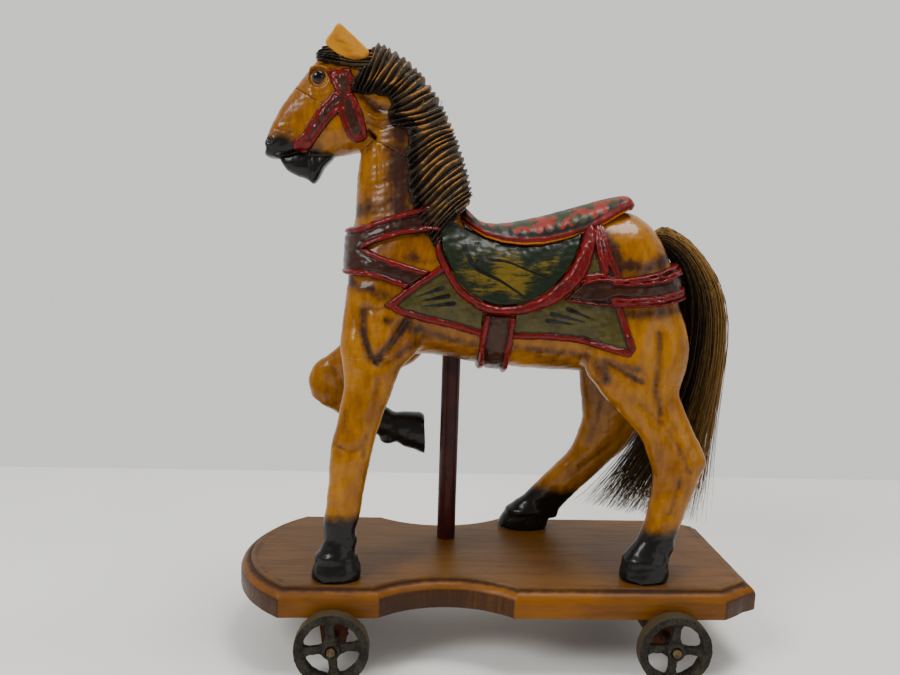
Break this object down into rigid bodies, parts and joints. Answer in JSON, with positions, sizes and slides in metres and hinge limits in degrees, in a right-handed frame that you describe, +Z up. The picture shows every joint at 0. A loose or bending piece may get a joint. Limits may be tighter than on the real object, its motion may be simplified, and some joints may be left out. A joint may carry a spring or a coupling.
{
  "type": "pull along toy",
  "caption": "Carved and painted wooden horse with a raised foreleg, saddle and hair tail, standing on a shaped wooden platform that rolls on spoked cast-iron wheels.",
  "frame": {"origin": "on the floor under the middle of the platform's length and width", "axes": "+Z up, the horse looks along -Y, its left side is +X"},
  "size_m": [0.158, 0.33, 0.3925],
  "materials": {
    "honey_paint": "honey-yellow paint with brown glaze in the cuts, under gloss varnish, worn at the edges; black on hooves and muzzle",
    "platform_wood": "amber-brown stain, satin varnish, darker worn top and dark end grain",
    "block_wood": "dark stained, matt",
    "pole_paint": "dark maroon paint, satin",
    "mane_paint": "grey-black paint over ochre, carved in ridges with the ochre showing on the crests",
    "ear_paint": "ochre paint, satin",
    "flap_paint": "dark green paint with dry yellow-olive brushing, satin",
    "cloth_paint": "olive-green paint with black brush strokes and a red border, satin",
    "red_paint": "deep red paint, gloss, dark in the grooves",
    "seat_paint": "salmon red and green paint over black with a scalloped edge, satin",
    "strap_paint": "dark brown paint between red edges, gloss varnish",
    "eye_glass": "black glass, polished, brown iris ring",
    "tail_hair": "coarse horsehair, black-brown inside, tan outside",
    "wheel_iron": "rough grey-brown cast iron, worn on the tread",
    "axle_steel": "browned steel wire, dull"
  },
  "bodies": {
    "horse_and_platform": {"front_axle_block": "block_wood", "rear_axle_block": "block_wood", "front_axle": "axle_steel", "rear_axle": "axle_steel", "front_block_nail_1": "axle_steel", "front_block_nail_2": "axle_steel", "rear_block_nail_1": "axle_steel", "rear_block_nail_2": "axle_steel", "hold_down_screw_1": "axle_steel", "hold_down_screw_2": "axle_steel", "hold_down_screw_3": "axle_steel", "hold_down_screw_4": "axle_steel", "platform_board": "platform_wood", "trunk": "honey_paint", "neck": "honey_paint", "head_crown": "honey_paint", "head_face": "honey_paint", "left_front_leg": "honey_paint", "right_front_leg": "honey_paint", "left_hind_leg": "honey_paint", "right_hind_leg": "honey_paint", "pole": "pole_paint", "left_eye": "eye_glass", "right_eye": "eye_glass", "left_ear": "ear_paint", "right_ear": "ear_paint", "forelock": "mane_paint", "mane": "mane_paint", "tail": "tail_hair", "saddle_seat": "seat_paint", "left_saddle_flap": "flap_paint", "right_saddle_flap": "flap_paint", "left_flap_border": "red_paint", "right_flap_border": "red_paint", "left_front_cloth": "cloth_paint", "right_front_cloth": "cloth_paint", "left_rear_cloth": "cloth_paint", "right_rear_cloth": "cloth_paint", "left_bridle": "strap_paint", "right_bridle": "strap_paint", "girth": "strap_paint", "upper_collar": "strap_paint", "lower_collar": "strap_paint", "breeching": "strap_paint"},
    "wheel_front_left": {"front_left_wheel": "wheel_iron"},
    "wheel_front_right": {"front_right_wheel": "wheel_iron"},
    "wheel_rear_left": {"rear_left_wheel": "wheel_iron"},
    "wheel_rear_right": {"rear_right_wheel": "wheel_iron"}
  },
  "joints": [
    {"name": "front_left_wheel_spin", "type": "hinge", "parent": "horse_and_platform", "child": "wheel_front_left", "pos_m": [0.0732, -0.0994, 0.0223], "axis": [1, 0, 0], "continuous": true},
    {"name": "front_right_wheel_spin", "type": "hinge", "parent": "horse_and_platform", "child": "wheel_front_right", "pos_m": [-0.0732, -0.0994, 0.0223], "axis": [1, 0, 0], "continuous": true},
    {"name": "rear_left_wheel_spin", "type": "hinge", "parent": "horse_and_platform", "child": "wheel_rear_left", "pos_m": [0.0732, 0.1064, 0.0223], "axis": [1, 0, 0], "continuous": true},
    {"name": "rear_right_wheel_spin", "type": "hinge", "parent": "horse_and_platform", "child": "wheel_rear_right", "pos_m": [-0.0732, 0.1064, 0.0223], "axis": [1, 0, 0], "continuous": true}
  ]
}
